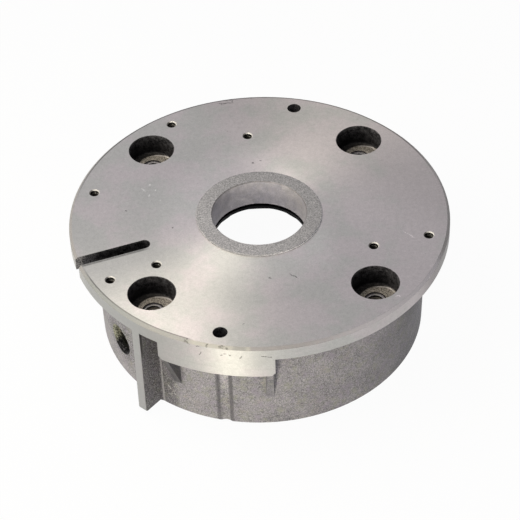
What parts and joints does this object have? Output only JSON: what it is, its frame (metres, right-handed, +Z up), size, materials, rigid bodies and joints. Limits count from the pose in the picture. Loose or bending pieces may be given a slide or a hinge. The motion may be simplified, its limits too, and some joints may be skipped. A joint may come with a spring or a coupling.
{
  "type": "motor end shield",
  "caption": "Cast motor end shield: a turned flange on a hollow drum, with a bearing bore, deep screw pockets, tapped holes, a lead slot, a side cable entry and a stop rib.",
  "frame": {"origin": "centre of the bearing bore's axis at the drum's open rim, on the surface the part stands on", "axes": "+Z up along the bearing bore, out of the turned face; -Y towards the side with the thick rim segment; +X right"},
  "size_m": [0.25, 0.25, 0.0862],
  "materials": {
    "cast_aluminium": "satin turned face and rim, granular as-cast drum and hub ring"
  },
  "bodies": {
    "root": {"end_shield": "cast_aluminium"}
  },
  "joints": []
}
